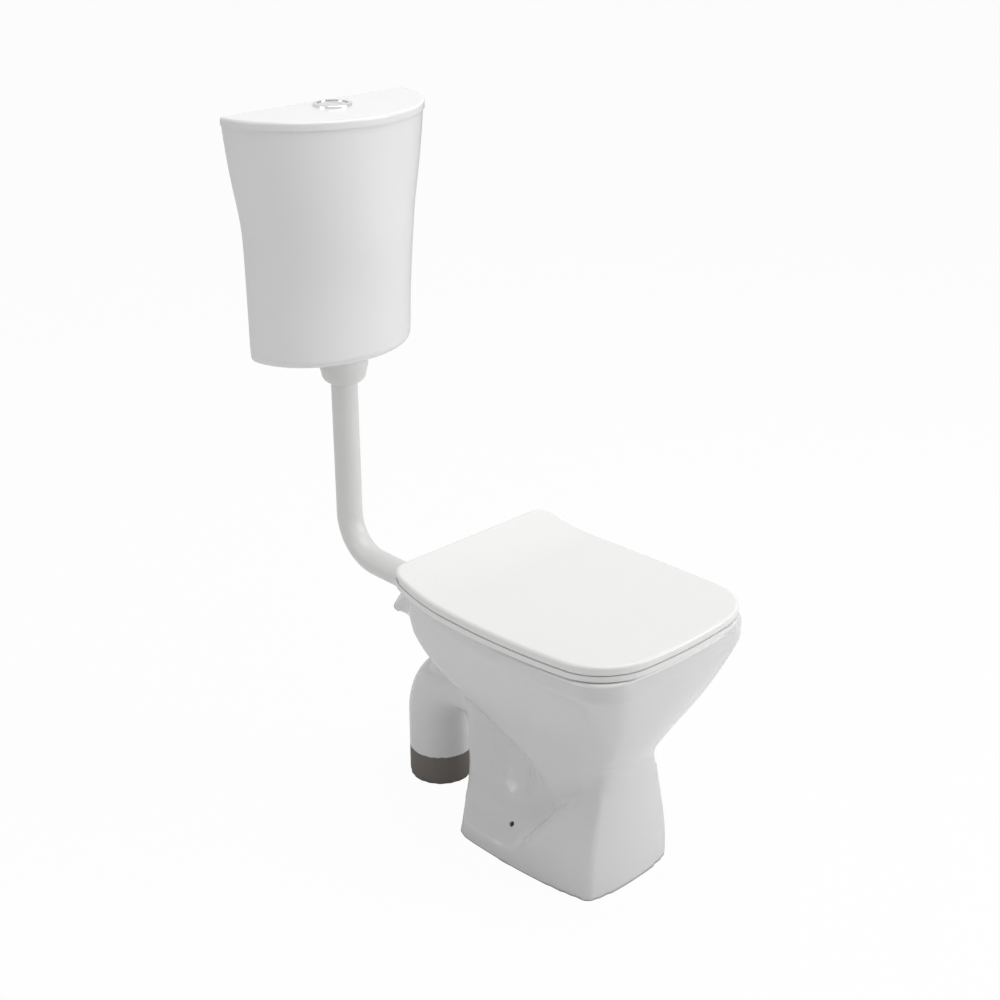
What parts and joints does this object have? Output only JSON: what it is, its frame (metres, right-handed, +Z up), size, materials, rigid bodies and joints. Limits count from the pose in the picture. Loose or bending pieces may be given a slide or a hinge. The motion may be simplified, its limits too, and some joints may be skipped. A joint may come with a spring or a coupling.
{
  "type": "floor-standing toilet",
  "caption": "Floor-standing toilet with a squared bowl, lift-up seat and lid and S-trap outlet, and a wall-hung push-button cistern joined by a bent flush pipe.",
  "frame": {"origin": "centre of the outlet spigot's open end, on the floor", "axes": "+X to the right of a person who faces the wall, +Y back towards the wall, +Z up"},
  "size_m": [0.3358, 0.751, 1.0285],
  "materials": {
    "ceramic": "glossy white glaze",
    "seat_plastic": "smooth white",
    "tank_plastic": "glossy white",
    "pipe_plastic": "satin white",
    "fitting_plastic": "moulded, light grey",
    "hinge_metal": "satin",
    "chrome": "polished",
    "rubber": "matt"
  },
  "bodies": {
    "base": {"pan": "ceramic", "hinge_posts": "hinge_metal", "hinge_pins": "hinge_metal", "hinge_studs": "hinge_metal", "hinge_washers": "rubber", "hinge_wing_nuts": "fitting_plastic", "cistern_tank": "tank_plastic", "valve_gasket": "rubber", "valve_base": "fitting_plastic", "outlet_locknut": "fitting_plastic", "valve_cage": "fitting_plastic", "valve_head": "fitting_plastic", "outlet_cup": "pipe_plastic", "cone_washer": "rubber", "flush_pipe": "pipe_plastic", "inlet_cone": "rubber", "fill_washer": "rubber", "fill_valve": "fitting_plastic", "fill_locknut": "fitting_plastic", "silencer_tube": "fitting_plastic", "float_pin": "hinge_metal"},
    "seat": {"seat_ring": "seat_plastic", "ring_buffers": "rubber"},
    "lid": {"seat_lid": "seat_plastic", "lid_buffers": "rubber"},
    "tank_lid": {"cistern_lid": "tank_plastic", "button_bezel": "chrome", "button_nut": "fitting_plastic"},
    "full_button": {"full_flush_button": "chrome"},
    "half_button": {"half_flush_button": "chrome"},
    "valve_stem": {"overflow_tube": "fitting_plastic", "valve_seal": "rubber"},
    "float": {"float_arm": "fitting_plastic", "fill_float": "fitting_plastic"}
  },
  "joints": [
    {"name": "seat_hinge", "type": "hinge", "parent": "base", "child": "seat", "pos_m": [0, -0.083, 0.41651], "axis": [-1, 0, 0], "range_deg": [0, 92]},
    {"name": "lid_hinge", "type": "hinge", "parent": "seat", "child": "lid", "pos_m": [0, -0.083, 0.41651], "axis": [1, 0, 0], "range_deg": [-92, 0]},
    {"name": "tank_lid_lift", "type": "slide", "parent": "base", "child": "tank_lid", "axis": [0, 0, 1], "range_m": [0, 0.05]},
    {"name": "full_flush_press", "type": "slide", "parent": "tank_lid", "child": "full_button", "axis": [0, 0, -1], "range_m": [0, 0.008], "stiffness_N_per_m": 600, "springref_m": -0.003},
    {"name": "half_flush_press", "type": "slide", "parent": "tank_lid", "child": "half_button", "axis": [0, 0, -1], "range_m": [0, 0.008], "stiffness_N_per_m": 600, "springref_m": -0.003},
    {"name": "valve_lift", "type": "slide", "parent": "base", "child": "valve_stem", "axis": [0, 0, 1], "range_m": [0, 0.02]},
    {"name": "float_swing", "type": "hinge", "parent": "base", "child": "float", "pos_m": [0.071, 0.213, 0.905], "axis": [0, 1, 0], "range_deg": [0, 15]}
  ],
  "couplings": [
    {"joint": "valve_lift", "follows": "full_flush_press", "ratio": 2.5}
  ]
}
